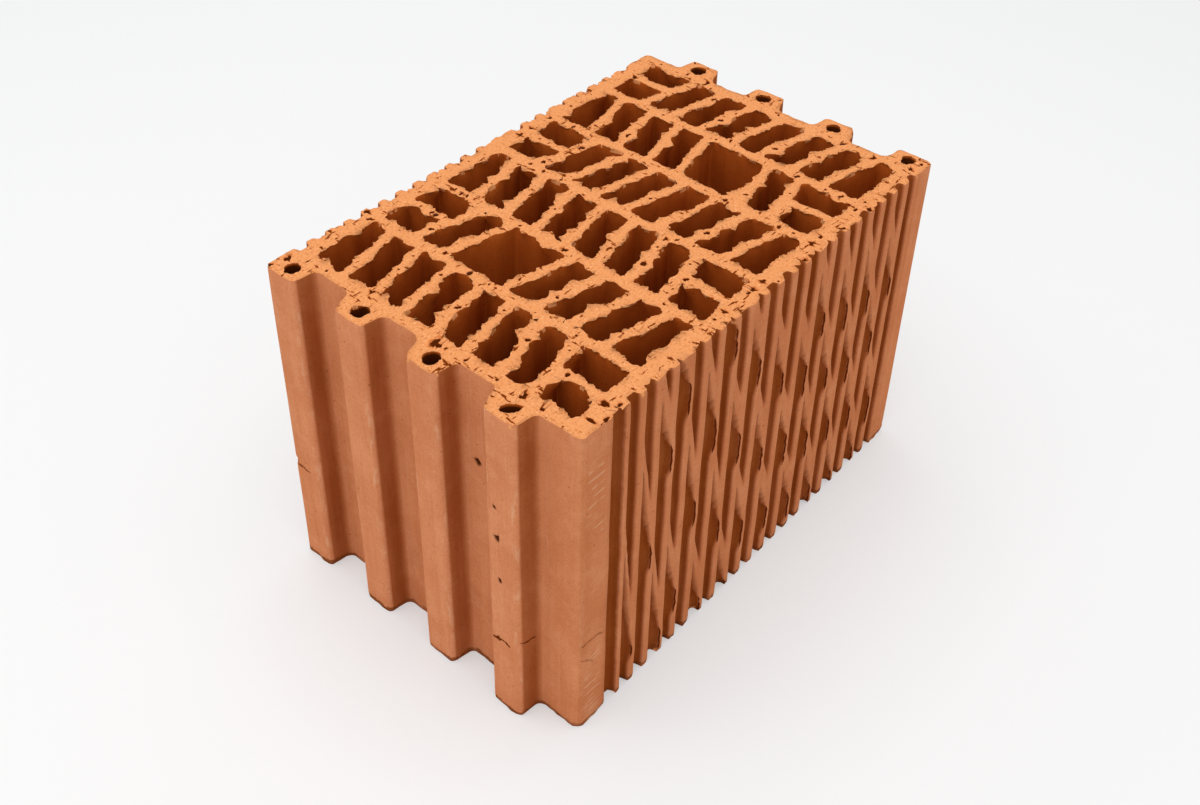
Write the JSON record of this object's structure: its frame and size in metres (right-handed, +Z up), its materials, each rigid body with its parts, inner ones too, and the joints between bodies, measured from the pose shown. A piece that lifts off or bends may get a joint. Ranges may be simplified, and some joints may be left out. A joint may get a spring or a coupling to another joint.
{
  "type": "hollow clay block",
  "caption": "Upright-perforated fired clay wall block with slanted webs, grip holes, tongued ends and fluted long faces, for mortared walls.",
  "frame": {"origin": "middle of the base, on the lower bed face", "axes": "+Z up along the holes, +X along the length over the tongues, +Y across the width between the fluted faces"},
  "size_m": [0.375, 0.24, 0.249],
  "materials": {
    "fired_clay": "matte, rough, unglazed"
  },
  "bodies": {
    "root": {"clay_block": "fired_clay"}
  },
  "joints": []
}
